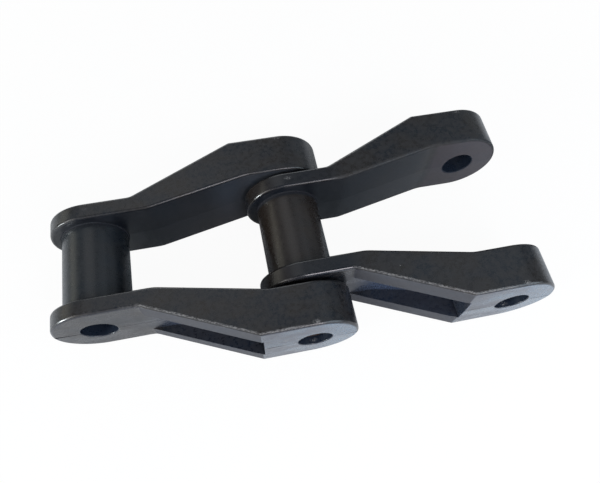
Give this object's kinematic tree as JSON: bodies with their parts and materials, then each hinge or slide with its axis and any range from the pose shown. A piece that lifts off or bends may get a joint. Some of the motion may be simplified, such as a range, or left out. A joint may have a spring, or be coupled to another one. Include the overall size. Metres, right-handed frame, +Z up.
{
  "type": "plastic scraper chain",
  "caption": "Section of moulded black plastic scraper chain: cranked one-piece links with hollow barrels and open pin holes, hinged together on a headless steel pin.",
  "frame": {"origin": "middle of the first link's barrel bore, on the chain's middle plane", "axes": "+X along the chain towards the open end, +Y along the pin, +Z up from the face that the chain lies on"},
  "size_m": [0.1609, 0.0706, 0.0284],
  "materials": {
    "link_plastic": "satin moulded charcoal black",
    "pin_steel": "plain turned steel, dull and slightly tarnished"
  },
  "bodies": {
    "first_link": {"first_link": "link_plastic", "link_pin": "pin_steel"},
    "second_link": {"second_link": "link_plastic"}
  },
  "joints": [
    {"name": "link_hinge", "type": "hinge", "parent": "first_link", "child": "second_link", "pos_m": [0.06627, 0, 0], "axis": [0, 1, 0], "range_deg": [-97, 97]}
  ]
}
